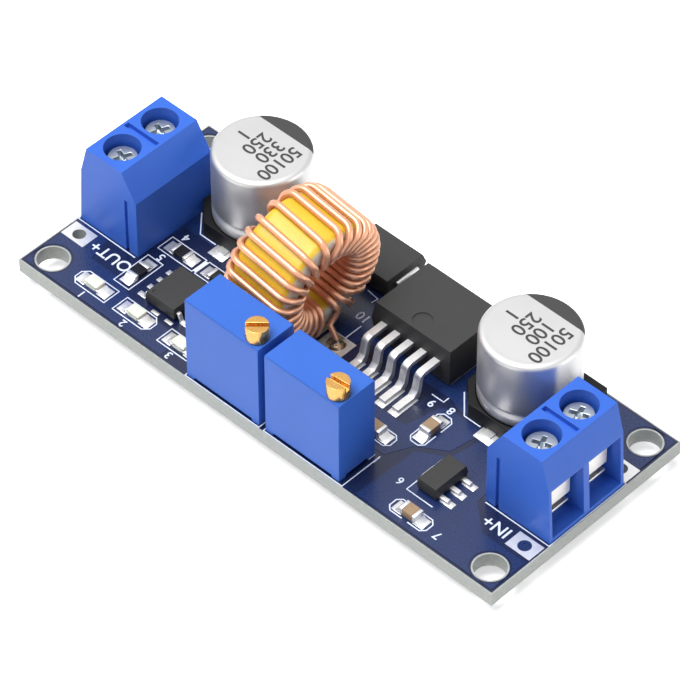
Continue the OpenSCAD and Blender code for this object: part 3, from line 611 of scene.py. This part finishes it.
class FinishBoard(bpy.types.Operator):
    """Solder mask, bare edges and the copper areas under the mask"""
    bl_idname = "module.finish_board"
    bl_label = "Board"

    areas = {
        "input_front": [(13.6, -12.6), (30.6, -12.6), (30.6, -8.1), (25.3, -8.1),
                        (22.4, -5.6), (21.9, 1.0), (17.6, 1.0), (16.9, -3.2), (13.9, -5.0)],
        "feed_strip": [(2.2, -7.3), (12.1, -7.3), (13.4, -4.6), (16.3, -2.7), (17.0, 1.2),
                       (12.6, 1.2), (11.9, 0.6), (11.0, -3.2), (1.2, -3.2)],
        "output_front": [(-30.6, -12.6), (-12.0, -12.6), (-12.0, -9.9), (-19.4, -9.3),
                         (-22.2, -8.1), (-26.0, -8.1), (-27.0, -4.0), (-30.6, -4.0)],
        "output_rear": [(-30.6, 12.6), (-30.6, -3.5), (-22.9, -3.5), (-22.4, 1.2),
                        (-12.0, 1.2), (-12.0, 12.6)],
        "switch_node": [(-11.4, 12.6), (-11.4, 2.6), (-10.8, -0.4), (-2.6, -1.6),
                        (0.4, -1.6), (0.4, 12.6)],
        "ground": [(0.9, 12.6), (0.9, 2.2), (12.0, 2.2), (13.2, 1.7), (21.6, 1.7),
                   (22.3, 5.6), (30.6, 5.6), (30.6, 12.6)],
    }

    cleared = ((*CORNER_HOLE, 2.0), (29.2, 6.6, 0.8))

    def execute(self, context):
        settings = context.scene.module_board
        board = frame["nodes"]["board"]
        board.data.materials.clear()
        board.data.materials.append(solder_mask(settings))
        holes = [(sx * x, sy * y, radius) for x, y, radius in self.cleared
                 for sx in (-1, 1) for sy in (-1, 1)]
        pieces = []
        for name, outline in self.areas.items():
            inside = [h for h in holes if self.holds(outline, h)]
            pieces.append(area(outline, inside, settings.copper_height, TOP))
        copper = join(pieces, "copper_areas")
        outward(copper)
        round_edges(copper, 0.012 * MM, 1)
        dress(copper, copper_mask(settings))
        return {"FINISHED"}

    @staticmethod
    def holds(outline, hole):
        """Whether a hole's centre lies within the box round an outline."""
        xs = [p[0] for p in outline]
        ys = [p[1] for p in outline]
        return min(xs) < hole[0] < max(xs) and min(ys) < hole[1] < max(ys)


def box_line(x0, x1, y0, y1):
    return [(x0, y0), (x1, y0), (x1, y1), (x0, y1)]


def pill_line(x, y, length, width, left, right):
    """A box whose ends are cut at 45 degrees where left or right is above 0."""
    a, b = x - length / 2, x + length / 2
    low, high = y - width / 2, y + width / 2
    return [(a + left, low), (b - right, low), (b, low + right), (b, high - right),
            (b - right, high), (a + left, high), (a, high - left), (a, low + left)]


class PrintLegend(bpy.types.Operator):
    """Part outlines, polarity words and plain numbers in white ink"""
    bl_idname = "module.print_legend"
    bl_label = "Legend"

    def execute(self, context):
        settings = context.scene.module_board
        height, width = settings.ink_height, settings.ink_width
        level = TOP + height / 2
        open_lines = [
            [(12.12, 3.75), (14.2, 1.5), (16.25, 1.5)], [(18.6, 1.5), (20.7, 1.5), (22.7, 3.7)],
            [(-12.12, 3.75), (-14.2, 1.5), (-16.25, 1.5)],
            [(-18.6, 1.5), (-20.7, 1.5), (-22.7, 3.7)],
            [(10.1, 1.45), (11.6, 1.45), (11.6, 2.15)],
            [(-0.85, 1.1), (-0.85, 3.3)],
            [(-2.3, 6.2), (-2.2, 7.0), (-3.7, 7.2)],
            [(16.62, -7.4), (16.62, -8.95), (19.9, -8.95)],
            [(16.5, -6.9), (16.5, -3.9)],
            [(-8.45, -7.7), (-8.45, -12.82), (1.3, -12.82), (1.3, -7.7)],
            [(1.9, -7.7), (1.9, -12.82), (12.05, -12.82), (12.05, -7.7)],
        ]
        gaps = [REGULATOR_PITCH * k + REGULATOR_X for k in (-2.5, -1.5, -0.5, 0.5, 1.5)]
        open_lines += [[(x - 0.35, 1.45), (x + 0.35, 1.45)] for x in gaps]
        for side in (-1, 1):
            open_lines.append([(side * x, y) for x, y in
                               ((23.0, -5.12), (30.86, -5.12), (30.86, 5.5), (23.0, 5.5))])
        closed_lines = [
            pill_line(x, y, 4.55, 2.05, left, right) for (x, y), (left, right)
            in zip(LAMPS, ((0.6, 0.01), (0.01, 0.6), (0.01, 0.6)))]
        closed_lines += [
            box_line(-22.38, -20.33, -8.6, -3.95),
            box_line(-22.38, -17.73, -2.65, -0.6),
            box_line(-17.35, -12.75, -2.65, -0.6),
        ]
        pieces = [drawn(open_lines, width, height, level),
                  drawn(closed_lines, width, height, level, closed=True)]
        pieces += self.brackets(width, height, level)
        pieces.append(drawn([[(-17.54, -2.5), (-17.54, -0.75)]], 0.32 * MM, height, level))
        words = [
            ("OUT+", 1.9, -24.75, -6.6), ("IN+", 1.9, 25.8, -6.6),
            ("1", 1.25, -23.2, -12.1), ("2", 1.25, -17.56, -12.1), ("3", 1.25, -11.4, -12.05),
            ("4", 1.3, -21.3, 0.2), ("5", 1.3, -21.2, -3.35), ("6", 1.25, 15.5, -8.6),
            ("7", 1.3, 22.6, -11.2), ("8", 1.3, 12.9, 1.1), ("9", 1.3, 10.9, 0.6),
            ("10", 1.5, -1.5, 4.3), ("11", 1.2, 11.8, -8.2),
            ("OUT-", 1.9, -24.75, 7.3), ("IN-", 1.9, 25.8, 7.3),
        ]
        pieces += [printed(text, size, x, y, TOP, height, weight=0.015)
                   for text, size, x, y in words]
        legend = join(pieces, "legend")
        dress(legend, legend_ink(settings))
        return {"FINISHED"}

    def brackets(self, width, height, level):
        """Rounded brackets round the chip ceramics, open in the middle."""
        pieces = []
        for x, y, turn in CERAMICS:
            reach, half, gap, cut = 2.3, 0.9, 0.35, 0.45
            side = [(gap, half), (reach - cut, half), (reach, half - cut),
                    (reach, cut - half), (reach - cut, -half), (gap, -half)]
            angle = math.radians(turn)
            paths = []
            for flip in (-1, 1):
                path = []
                for px, py in side:
                    px *= flip
                    path.append((x + px * math.cos(angle) - py * math.sin(angle),
                                 y + px * math.sin(angle) + py * math.cos(angle)))
                paths.append(path)
            pieces.append(drawn(paths, width, height, level))
        return pieces


def chip_lands():
    """A landing pad under and beyond each end of the lamps, resistors and ceramics."""
    lands = []
    for side in (-1, 1):
        lands += [(x + side * 1.45, y, 1.15, 1.45) for x, y in LAMPS]
        for x, y, turn in RESISTORS + CERAMICS:
            lands.append((x, y + side * 1.35, 1.35, 1.2) if turn else
                         (x + side * 1.35, y, 1.2, 1.35))
    return lands


def package_lands():
    """The landing pads of the regulators, the diode, the eight-lead chip and the cans."""
    lands = [(REGULATOR_X + REGULATOR_PITCH * k, -1.55, 1.15, 3.1) for k in range(-2, 3)]
    lands.append((REGULATOR_X, 11.7, 10.4, 2.3))
    lands += [(x, 10.2, 1.9, 3.4) for x in (-8.35, -1.15)]
    x, y = AMPLIFIER
    lands += [(x + side * 2.85, y + AMPLIFIER_PITCH * k, 1.0, 0.6)
              for k in (-1.5, -0.5, 0.5, 1.5) for side in (-1, 1)]
    x, y = SMALL_REGULATOR
    lands += [(x, y + SMALL_REGULATOR_PITCH * k, 1.5, 0.75) for k in (-1, 0, 1)]
    for end in ENDS:
        low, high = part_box(end + "_can_feet")
        middle = (low.x + high.x) / 2 / MM
        lands.append((middle, low.y / MM + 0.6, 2.0, 2.6))
        lands.append((middle, high.y / MM - 1.2, 2.0, 2.4))
    return lands


class SolderBoard(bpy.types.Operator):
    """Landing pads, solder joints and the tinned pads"""
    bl_idname = "module.solder_board"
    bl_label = "Solder"

    def execute(self, context):
        metal = context.scene.module_metal
        tin, solder = bright_tin(metal), fresh_solder(metal)
        finished_copy("solder_pads", tin, 0.015 * MM)
        finished_copy("through_solder", solder, soft=60)
        finished_copy("chip_solder", solder, 0.05 * MM, soft=60)
        pieces, height, edge = [], 0.045 * MM, 0.02 * MM
        for x, y, wide, deep in package_lands() + chip_lands():
            low = ((x - wide / 2) * MM, (y - deep / 2) * MM, TOP)
            high = ((x + wide / 2) * MM, (y + deep / 2) * MM, TOP + height)
            pieces.append(slab(low, high, edge))
        landing = join(pieces, "landing_pads")
        smooth(landing)
        dress(landing, solder)
        return {"FINISHED"}


class FinishBlocks(bpy.types.Operator):
    """Terminal housings, clamps, leaves and clamping screws"""
    bl_idname = "module.finish_blocks"
    bl_label = "Terminal blocks"

    def execute(self, context):
        plastic, metal = context.scene.module_plastic, context.scene.module_metal
        moulding = block_moulding(plastic)
        plate, zinc = clamp_plate(), bright_zinc(metal)
        for end in ENDS:
            finished_copy(end + "_housing", moulding, plastic.edge)
            finished_copy(end + "_clamps", plate, 0.05 * MM)
            for pole in POLES:
                finished_copy(f"{end}_{pole}_leaf", plate, 0.05 * MM)
                finished_copy(f"{end}_{pole}_screw", zinc, 0.08 * MM)
        return {"FINISHED"}


class TurnCans(bpy.types.Operator):
    """Capacitor cans with their crimp, bases, feet and plain numbers"""
    bl_idname = "module.turn_cans"
    bl_label = "Capacitors"

    def execute(self, context):
        plastic, metal = context.scene.module_plastic, context.scene.module_metal
        aluminium, base = can_metal(metal), base_moulding(plastic)
        ink, tin = can_ink(metal), bright_tin(metal)
        for end, numbers in zip(ENDS, ("100", "330")):
            low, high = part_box(end + "_can")
            centre = (low + high) / 2
            radius = (high.x - low.x) / 2
            can = turned(self.outline(radius, low.z, high.z), centre)
            can.name = end + "_can_turned"
            smooth(can, 50)
            dress(can, aluminium, stands_for=(end + "_can",))
            x, y = centre.x / MM, centre.y / MM
            lines = [printed(text, 2.1, x + across, y + along, high.z, 0.012 * MM,
                             -math.pi / 2, 0.025)
                     for text, across, along in (("50100", 2.55, -0.3), (numbers, 0.8, 0.2),
                                                 ("250", -0.95, 0.2), ("1", -2.7, 0.2))]
            dress(join(lines, end + "_can_numbers"), ink)
            finished_copy(end + "_can_base", base, plastic.edge)
            finished_copy(end + "_can_feet", tin, 0.03 * MM)
        return {"FINISHED"}

    def outline(self, radius, low, high):
        """Rings of a can: a rolled bead, the crimp groove, the wall and a rounded shoulder."""
        bead, groove, shoulder, dish = 0.42 * MM, 0.30 * MM, 0.55 * MM, 0.05 * MM
        middle = low + 1.55 * MM
        rings = [(radius - bead, low)]
        rings += [(radius - bead + bead * math.sin(a), low + bead - bead * math.cos(a))
                  for a in (math.radians(d) for d in (30, 60, 90))]
        waist = [(radius - groove * (1 + math.cos(math.pi * t)) / 2, middle + 0.5 * MM * t)
                 for t in (-0.95, -0.6, -0.35, -0.12, 0.12, 0.35, 0.6, 0.95)]
        rings += waist
        rings += [(radius - shoulder + shoulder * math.cos(a),
                   high - shoulder + shoulder * math.sin(a))
                  for a in (math.radians(d) for d in (0, 18, 36, 54, 72, 90))]
        rings.append((radius - shoulder - 0.25 * MM, high - dish / 3))
        rings.append((radius - shoulder - 0.5 * MM, high - dish / 10))
        return rings


class WindCoil(bpy.types.Operator):
    """Painted core, its winding, the soldered ends and the adhesive"""
    bl_idname = "module.wind_coil"
    bl_label = "Coil"

    centre = (-5.4, 0.0, 7.7)
    core_outer, core_inner, core_half, core_corner = 6.45, 3.9, 3.5, 0.9
    gap, step, start = 0.06, 12.4, 281.0
    # bore angles of the turns, and how far round each slips on the outside, in degrees
    slips = ((-90, 0), (-52, -18), (5, 0), (68, 12.5), (95, 12.5), (122, 0))
    lead = 4.45

    def execute(self, context):
        coil, metal = context.scene.module_coil, context.scene.module_metal
        finished_copy("toroid_core", self.core_paint(coil), soft=50)
        finished_copy("toroid_dab", cured_adhesive(), 0.2 * MM)
        self.solder()
        wire = traced([self.route(coil)])
        wire.data.bevel_depth = coil.wire / 2
        wire.data.bevel_resolution = 3
        wire.data.use_fill_caps = True
        wire = to_mesh(wire)
        wire.name = "coil_wire"
        smooth(wire, 60)
        dress(wire, wire_enamel(metal), stands_for=("toroid_winding",))
        return {"FINISHED"}

    def core_paint(self, coil):
        """Thick yellow paint on a pressed powder core, with one face left white."""
        finish = Finish("core_paint", coil.core, 0.40, mottle=0.07, patch=1.6,
                        grain=0.3, relief=0.02)
        x, _, z = finish.axes()
        cx, _, cz = self.centre
        across = finish.math("MULTIPLY", finish.math("SUBTRACT", x, cx * MM),
                             math.cos(coil.tilt))
        up = finish.math("MULTIPLY", finish.math("SUBTRACT", z, TOP + cz * MM),
                         math.sin(coil.tilt))
        axial = finish.math("SUBTRACT", across, up)
        face = finish.span(axial, 0, 1, (self.core_half - 0.40) * MM,
                           (self.core_half - 0.12) * MM)
        finish.tint(face, coil.face)
        return finish.material

    def solder(self):
        low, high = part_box("toroid_solder")
        mounds = []
        for x in (low.x + 1.0 * MM, high.x - 1.0 * MM):
            rings = [(1.0 * MM, low.z), (0.98 * MM, low.z + 0.08 * MM),
                     (0.80 * MM, low.z + 0.26 * MM), (0.58 * MM, low.z + 0.42 * MM),
                     (0.45 * MM, low.z + 0.60 * MM), (0.37 * MM, low.z + 0.80 * MM)]
            mounds.append(turned(rings, (x, 0.0), 32))
        mound = join(mounds, "coil_solder")
        smooth(mound, 60)
        dress(mound, fluxed_solder(), stands_for=("toroid_solder",))

    @staticmethod
    def ease(t):
        return t * t * (3 - 2 * t)

    def slip(self, a):
        """How far a turn at bore angle a slips round on the outside."""
        a -= 360
        for (low, first), (high, second) in zip(self.slips, self.slips[1:]):
            if low <= a <= high:
                return first + (second - first) * (a - low) / (high - low)
        return 0

    def loop(self, wire):
        """One turn round the core's section: radius, axial place, outer share, turn share."""
        off = wire / 2 + self.gap
        middle = (self.core_outer + self.core_inner) / 2
        corner = self.core_corner + off
        half_r = (self.core_outer - self.core_inner) / 2 + off - corner
        half_x = self.core_half + off - corner
        steps = 6
        points = []
        arc = corner * math.pi / (corner * math.pi + 2 * half_r) / 2
        corners = ((1, 1, 0, 1.0, 1 - arc, 0.0), (-1, 1, 90, arc, 0.0, 0.3),
                   (-1, -1, 180, 0.0, arc, 0.5), (1, -1, 270, 1 - arc, 1.0, 0.8))
        for sr, sx, first, share_a, share_b, turn in corners:
            for k in range(steps + 1):
                t = k / steps
                a = math.radians(first + 90 * t)
                points.append((middle + sr * half_r + corner * math.cos(a),
                               sx * half_x + corner * math.sin(a),
                               self.ease(share_a + (share_b - share_a) * t), turn + t / 10))
            if sr == sx:
                points.append((middle, sx * (half_x + corner), 0.5, turn + 0.2))
        return points

    def lean(self, x, y, z, tilt):
        cx, cy, cz = self.centre
        return (cx + x * math.cos(tilt) + z * math.sin(tilt), cy + y,
                TOP / MM + cz - x * math.sin(tilt) + z * math.cos(tilt))

    def lead_path(self, side, wire, tilt):
        cx, cy, _ = self.centre
        foot = TOP / MM + 0.05
        half = self.core_half + wire / 2 + 2 * self.gap
        drop = (self.core_outer + self.core_inner) / 2 + (self.core_outer - self.core_inner) / 4
        foot_x = cx + side * self.lead
        return [(foot_x, cy, foot), (foot_x, cy, foot + wire),
                self.lean(side * half, side * wire / 2, -drop, tilt)]

    def route(self, coil):
        wire, tilt = coil.wire / MM, coil.tilt
        loop = self.loop(wire)
        first, final = 8, 21  # where the two leads meet the loop's points
        points = self.lead_path(1, wire, tilt)
        for k in range(coil.turns):
            for i, (radius, axial, share, turn) in enumerate(loop):
                if (k == 0 and i < first) or (k == coil.turns - 1 and i > final):
                    continue
                a = self.start + (k + turn) * self.step
                a -= share * self.slip(a)
                points.append(self.lean(axial, radius * math.cos(math.radians(a)),
                                        radius * math.sin(math.radians(a)), tilt))
        return points + self.lead_path(-1, wire, tilt)[::-1]


class FinishPackages(bpy.types.Operator):
    """Regulators, diode and the eight-lead chip"""
    bl_idname = "module.finish_packages"
    bl_label = "Chip packages"

    def execute(self, context):
        plastic, metal = context.scene.module_plastic, context.scene.module_metal
        resin, tin = package_resin(plastic), bright_tin(metal)
        for node in ("regulator_body", "diode_body", "amplifier_body", "small_regulator_body"):
            finished_copy(node, resin, plastic.chip_edge)
        for node in ("regulator_tab", "regulator_leads", "diode_leads", "amplifier_leads",
                     "small_regulator_leads"):
            finished_copy(node, tin, 0.04 * MM)
        return {"FINISHED"}


class FinishTrimmers(bpy.types.Operator):
    """Trimmer housings, brass adjusting screws and pins"""
    bl_idname = "module.finish_trimmers"
    bl_label = "Trimmers"

    def execute(self, context):
        plastic, metal = context.scene.module_plastic, context.scene.module_metal
        moulding, brass, tin = trimmer_moulding(plastic), turned_brass(metal), bright_tin(metal)
        for number in (1, 2):
            finished_copy(f"trimmer_{number}_housing", moulding,
                          0.08 * MM, degrees=50)
            finished_copy(f"trimmer_{number}_screw", brass, 0.07 * MM)
            finished_copy(f"trimmer_{number}_pins", tin, 0.04 * MM)
        return {"FINISHED"}


class FinishChips(bpy.types.Operator):
    """Lamps, chip resistors and chip ceramics"""
    bl_idname = "module.finish_chips"
    bl_label = "Chips and lamps"

    def execute(self, context):
        metal = context.scene.module_metal
        tin = bright_tin(metal)
        for node in ("lamp_ends", "resistor_ends", "ceramic_ends"):
            finished_copy(node, tin, 0.05 * MM)
        finished_copy("lamp_bases", lamp_body(), 0.03 * MM)
        low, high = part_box("lamp_lenses")
        reach, edge = 0.85 * MM, 0.1 * (high.y - low.y)
        lenses = [slab((x * MM - reach, low.y, low.z), (x * MM + reach, high.y, high.z), edge)
                  for x, _ in LAMPS]
        lens = join(lenses, "lamp_lenses_cast")
        smooth(lens)
        dress(lens, lamp_resin(), stands_for=("lamp_lenses",))
        finished_copy("resistor_bodies", resistor_glaze(), 0.03 * MM)
        finished_copy("ceramic_bodies", fired_ceramic(), 0.05 * MM)
        return {"FINISHED"}


class SetStage(bpy.types.Operator):
    """Camera, lights, floor and backdrop"""
    bl_idname = "module.set_stage"
    bl_label = "Stage"

    # the camera's angles in radians, its distance and shifts in millimetres
    azimuth, elevation, roll = 0.7650, 0.8060, -0.0020
    distance, shift_right, shift_up = 462.86, 0.591, -0.108
    floor_tone, floor_glow = 0.92, 0.55

    def execute(self, context):
        stage = context.scene.module_stage
        self.camera(stage)
        self.floor(stage)
        self.lamps(stage)
        self.sky(stage)
        context.scene.view_settings.view_transform = "Standard"
        return {"FINISHED"}

    def camera(self, stage):
        a, e = self.azimuth, self.elevation
        back = Vector((math.sin(a) * math.cos(e), -math.cos(a) * math.cos(e), math.sin(e)))
        right = Vector((0, 0, 1)).cross(back).normalized()
        up = back.cross(right)
        c, s = math.cos(self.roll), math.sin(self.roll)
        right, up = c * right + s * up, c * up - s * right
        spot = back * self.distance + right * self.shift_right + up * self.shift_up
        deselect()
        bpy.ops.object.camera_add()
        camera = bpy.context.active_object
        camera.name = "camera"
        camera.matrix_world = Matrix.Translation(spot * MM + Vector((0, 0, TOP))) @ (
            Matrix((right, up, back)).transposed().to_4x4())
        camera.data.lens = stage.lens
        camera.data.sensor_width = 36
        camera.data.clip_start = 0.01
        camera.data.clip_end = 10
        bpy.context.scene.camera = camera

    @staticmethod
    def seen(tree):
        """1 for the rays that show the plain background, 0 for those that light the module."""
        path = tree.nodes.new("ShaderNodeLightPath")
        last = path.outputs["Is Camera Ray"]
        for kind in ("Is Glossy Ray", "Is Transmission Ray"):
            either = tree.nodes.new("ShaderNodeMath")
            either.operation = "MAXIMUM"
            tree.links.new(last, either.inputs[0])
            tree.links.new(path.outputs[kind], either.inputs[1])
            last = either.outputs[0]
        return last

    def floor(self, stage):
        deselect()
        bpy.ops.mesh.primitive_plane_add(size=6, location=(0, 0, 0))
        floor = bpy.context.active_object
        floor.name = "floor"
        material = bpy.data.materials.new("floor_paint")
        material.use_nodes = True
        tree = material.node_tree
        shader = tree.nodes["Principled BSDF"]
        shader.inputs["Base Color"].default_value = (*(self.floor_tone,) * 3, 1)
        shader.inputs["Roughness"].default_value = 0.9
        shader.inputs["Specular IOR Level"].default_value = 0.0
        seen = self.seen(tree)
        glow = tree.nodes.new("ShaderNodeMath")
        glow.operation = "MULTIPLY"
        tree.links.new(seen, glow.inputs[0])
        glow.inputs[1].default_value = self.floor_glow
        shader.inputs["Emission Color"].default_value = (*stage.backdrop, 1)
        tree.links.new(glow.outputs[0], shader.inputs["Emission Strength"])
        floor.data.materials.append(material)

    def lamps(self, stage):
        aim = Vector((0, 0, 0.008))
        for name, spot, size, power in (
                ("key", (-0.08, -0.11, 0.44), 0.34, stage.key),
                ("fill", (0.42, 0.20, 0.12), 0.25, stage.fill)):
            deselect()
            bpy.ops.object.light_add(type="AREA", location=spot)
            lamp = bpy.context.active_object
            lamp.name = name
            lamp.data.size = size
            lamp.data.energy = power
            lamp.rotation_mode = "QUATERNION"
            lamp.rotation_quaternion = (aim - Vector(spot)).to_track_quat("-Z", "Y")

    def sky(self, stage):
        world = bpy.data.worlds.new("sky")
        bpy.context.scene.world = world
        world.use_nodes = True
        tree = world.node_tree
        glow = tree.nodes["Background"]
        glow.inputs["Color"].default_value = (*stage.backdrop, 1)
        seen = self.seen(tree)
        strength = tree.nodes.new("ShaderNodeMapRange")
        tree.links.new(seen, strength.inputs["Value"])
        strength.inputs["To Min"].default_value = stage.sky
        strength.inputs["To Max"].default_value = 1.0
        tree.links.new(strength.outputs["Result"], glow.inputs["Strength"])


class ModulePanel(bpy.types.Panel):
    """Builds the module's looks piece by piece"""
    bl_idname = "VIEW3D_PT_power_module"
    bl_label = "Power Module"
    bl_space_type = "VIEW_3D"
    bl_region_type = "UI"
    bl_category = "Power Module"

    def draw(self, context):
        for operator in OPERATORS:
            self.layout.operator(operator.bl_idname)
        for name, group in SETTINGS.items():
            box = self.layout.box()
            for field in group.__annotations__:
                box.prop(getattr(context.scene, name), field)


SETTINGS = {
    "module_board": BoardSettings,
    "module_plastic": PlasticSettings,
    "module_metal": MetalSettings,
    "module_coil": CoilSettings,
    "module_stage": StageSettings,
}
OPERATORS = (SetStage, FinishBoard, PrintLegend, SolderBoard, FinishBlocks, TurnCans, WindCoil,
             FinishPackages, FinishTrimmers, FinishChips)


def register():
    for group in SETTINGS.values():
        bpy.utils.register_class(group)
    for operator in OPERATORS:
        bpy.utils.register_class(operator)
    bpy.utils.register_class(ModulePanel)
    for name, group in SETTINGS.items():
        setattr(bpy.types.Scene, name, bpy.props.PointerProperty(type=group))


def unregister():
    for name in SETTINGS:
        delattr(bpy.types.Scene, name)
    bpy.utils.unregister_class(ModulePanel)
    for operator in reversed(OPERATORS):
        bpy.utils.unregister_class(operator)
    for group in reversed(SETTINGS.values()):
        bpy.utils.unregister_class(group)


def main():
    register()
    for operator in OPERATORS:
        group, name = operator.bl_idname.split(".")
        getattr(getattr(bpy.ops, group), name)()


if __name__ == "__main__":
    main()
